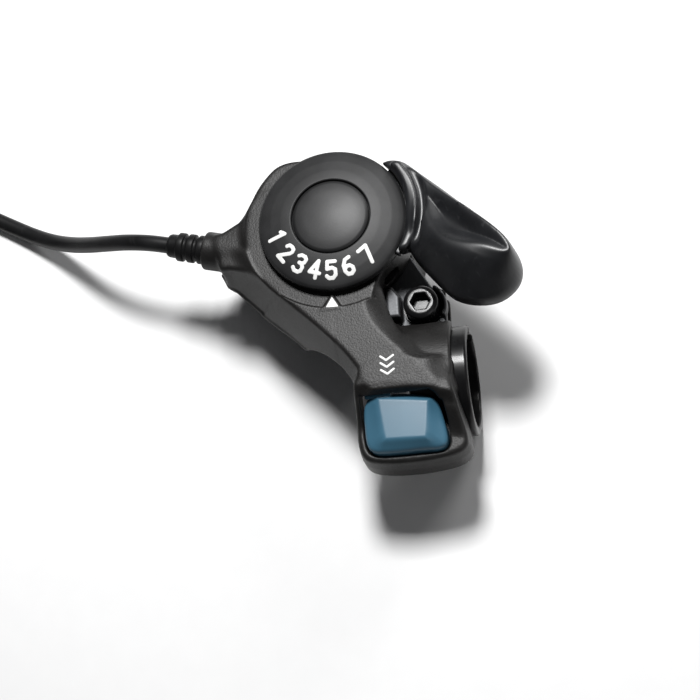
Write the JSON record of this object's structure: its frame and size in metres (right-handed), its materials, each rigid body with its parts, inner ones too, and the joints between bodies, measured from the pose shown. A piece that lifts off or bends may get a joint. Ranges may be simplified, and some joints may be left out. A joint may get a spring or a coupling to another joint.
{
  "type": "thumb shifter",
  "caption": "Handlebar thumb shifter: numbered dial pod with thumb lever, release button, pinch-bolt bar clamp and cable housing.",
  "frame": {"origin": "centre of the clamp band's bore, on the handlebar's axis", "axes": "+X along the handlebar towards the grip, +Z along the dial's axis away from the bar, +Y forward, away from the rider"},
  "size_m": [0.1957, 0.1016, 0.0428],
  "materials": {
    "housing": "fine textured, satin black",
    "dial": "satin charcoal, printed numerals",
    "lever": "smooth satin black",
    "button": "translucent steel blue, satin gloss",
    "drum": "acetal",
    "inner_plastic": "moulded",
    "black_steel": "glossy black",
    "bracket_steel": "stamped, dark zinc",
    "zinc_steel": "zinc plated",
    "spring_steel": "bright wire",
    "brass": "sintered bushing",
    "cable_jacket": "black satin polymer jacket"
  },
  "bodies": {
    "root": {"upper_housing": "housing", "lower_housing": "housing", "guide_plate": "inner_plastic", "base_bracket": "bracket_steel", "clamp_band": "black_steel", "clamp_bolt": "black_steel", "bolt_washer": "bracket_steel", "clamp_nut": "zinc_steel", "centre_axle": "zinc_steel", "axle_screw": "zinc_steel", "axle_washer": "zinc_steel", "thrust_washer": "inner_plastic", "return_spring": "spring_steel", "pawl_pin": "zinc_steel", "housing_screws": "black_steel", "outlet_end_cap": "housing", "inner_wire_run": "spring_steel", "cable_housing": "cable_jacket", "cable_coil": "cable_jacket", "cable_tail": "cable_jacket", "coil_clip": "inner_plastic", "far_end_cap": "zinc_steel", "inner_wire_tail": "spring_steel", "wire_tip": "zinc_steel", "pawl_spring": "spring_steel"},
    "lever": {"thumb_lever": "lever", "number_dial": "dial", "centre_cap": "dial", "axle_bushing": "brass", "cable_drum": "drum", "ratchet_wheel": "zinc_steel", "wire_nipple": "zinc_steel", "inner_wire_wrap": "spring_steel"},
    "release": {"release_button": "button", "release_slider": "inner_plastic", "release_spring": "spring_steel"},
    "pawl": {"pawl": "zinc_steel"}
  },
  "joints": [
    {"name": "lever_turn", "type": "hinge", "parent": "root", "child": "lever", "pos_m": [-0.0219, 0.0372, 0.012], "axis": [0, 0, 1], "range_deg": [-40, 73]},
    {"name": "release_press", "type": "slide", "parent": "root", "child": "release", "axis": [0, 1, 0], "range_m": [0, 0.003], "stiffness_N_per_m": 600, "springref_m": -0.002, "deforming": ["release_spring"]},
    {"name": "pawl_swing", "type": "hinge", "parent": "root", "child": "pawl", "pos_m": [-0.0249, 0.0196, 0.0142], "axis": [0, 0, 1], "range_deg": [0, 18.5], "deforming": ["pawl_spring"]}
  ],
  "couplings": [
    {"joint": "pawl_swing", "follows": "release_press", "rad_per_m": 104.72}
  ]
}
